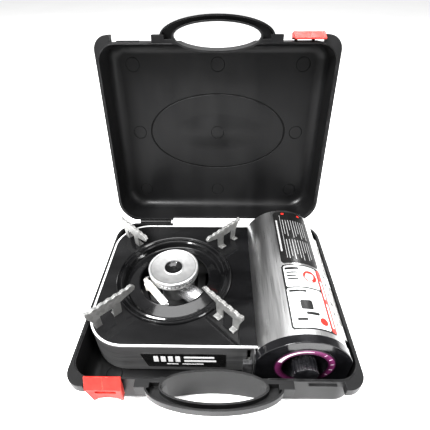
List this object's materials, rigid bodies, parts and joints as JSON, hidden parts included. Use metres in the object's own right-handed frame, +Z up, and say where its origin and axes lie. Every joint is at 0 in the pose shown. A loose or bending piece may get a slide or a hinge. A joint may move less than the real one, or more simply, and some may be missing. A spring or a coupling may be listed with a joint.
{
  "type": "camping stove",
  "caption": "Compact portable gas stove with one burner, a side cartridge bay with hinged cover, and a two-half carry case with handle and latches.",
  "frame": {"origin": "middle of the carry tray's flat underside, on the ground", "axes": "+Z up, front with the handle and the gas knob towards -Y, +X to the right seen from the front"},
  "size_m": [0.3, 0.362, 0.3278],
  "materials": {
    "case_plastic": "satin moulded polypropylene, fine grain",
    "latch_plastic": "semi-gloss moulded red plastic",
    "steel_pins": "plated wire",
    "brushed_body": "dark grey brushed lacquered steel",
    "plain_sheet": "zinc plated sheet, stamped",
    "zinc_sheet": "matt zinc plated sheet, stamped",
    "black_enamel": "glossy black enamel",
    "bright_trim": "polished edge band",
    "rubber": "soft black rubber",
    "badge": null,
    "cast_alloy": "satin machined casting",
    "bright_tube": "drawn bright tube",
    "brass": "turned brass",
    "ceramic_white": "glazed insulator",
    "lead_rubber": "insulated wire",
    "black_gloss": "glossy black moulding",
    "dial_print": "purple printed ring with a white tapering arc",
    "smoked_knob": "smoked glossy plastic, fluted",
    "brushed_cover": "brushed stainless sheet",
    "grey_plastic": "matt grey plastic"
  },
  "bodies": {
    "tray": {"tray_shell": "case_plastic", "hinge_pins": "steel_pins", "tray_latch_pin": "steel_pins"},
    "lid": {"lid_shell": "case_plastic", "lid_latch_pin": "steel_pins"},
    "front_latch": {"tray_latch": "latch_plastic"},
    "top_latch": {"lid_latch": "latch_plastic"},
    "stove": {"badge_plate": "badge", "body_shell": "brushed_body", "burner_cap": "cast_alloy", "burner_cup": "cast_alloy", "cartridge_cradle": "plain_sheet", "cover_hinge_leaf": "plain_sheet", "cover_hinge_pin": "steel_pins", "dial_ring": "dial_print", "drip_pan": "black_enamel", "edge_trim": "bright_trim", "electrode_insulator": "ceramic_white", "front_bezel": "black_gloss", "gas_pipe": "brass", "igniter_bracket": "plain_sheet", "ignition_lead": "lead_rubber", "jet_bracket": "plain_sheet", "jet_nozzle": "brass", "lever_guide": "plain_sheet", "mixing_tube": "bright_tube", "mounting_plate": "plain_sheet", "partition_wall": "plain_sheet", "pot_support_back_left": "zinc_sheet", "pot_support_back_right": "zinc_sheet", "pot_support_front_left": "zinc_sheet", "pot_support_front_right": "zinc_sheet", "rear_end_plate": "brushed_cover", "regulator_body": "cast_alloy", "regulator_screws": "steel_pins", "rubber_feet": "rubber", "spark_electrode": "steel_pins", "spark_unit": "black_gloss", "support_rivets": "zinc_sheet", "top_plate": "black_enamel"},
    "cover": {"canister_cover": "brushed_cover"},
    "knob": {"gas_knob": "smoked_knob", "valve_shaft": "steel_pins"},
    "lever": {"lock_lever": "plain_sheet", "lever_knob": "grey_plastic"}
  },
  "joints": [
    {"name": "lid_hinge", "type": "hinge", "parent": "tray", "child": "lid", "pos_m": [0, 0.128, 0.05], "axis": [-1, 0, 0], "range_deg": [-97.8, 0]},
    {"name": "tray_latch_pivot", "type": "hinge", "parent": "tray", "child": "front_latch", "pos_m": [-0.10875, -0.1266, 0.026], "axis": [1, 0, 0], "range_deg": [-5, 65]},
    {"name": "lid_latch_pivot", "type": "hinge", "parent": "lid", "child": "top_latch", "pos_m": [0.10875, 0.18633, 0.29899], "axis": [-1, 0, 0], "range_deg": [-5, 65]},
    {"name": "stove_lift", "type": "slide", "parent": "tray", "child": "stove", "axis": [0, 0, 1], "range_m": [0, 0.12]},
    {"name": "cover_hinge", "type": "hinge", "parent": "stove", "child": "cover", "pos_m": [0.1412, 0, 0.0526], "axis": [0, 1, 0], "range_deg": [0, 95]},
    {"name": "gas_knob_turn", "type": "hinge", "parent": "stove", "child": "knob", "pos_m": [0.093, -0.1, 0.0475], "axis": [0, -1, 0], "range_deg": [0, 150]},
    {"name": "lock_lever_slide", "type": "slide", "parent": "stove", "child": "lever", "axis": [0, 0, 1], "range_m": [0, 0.014]}
  ]
}
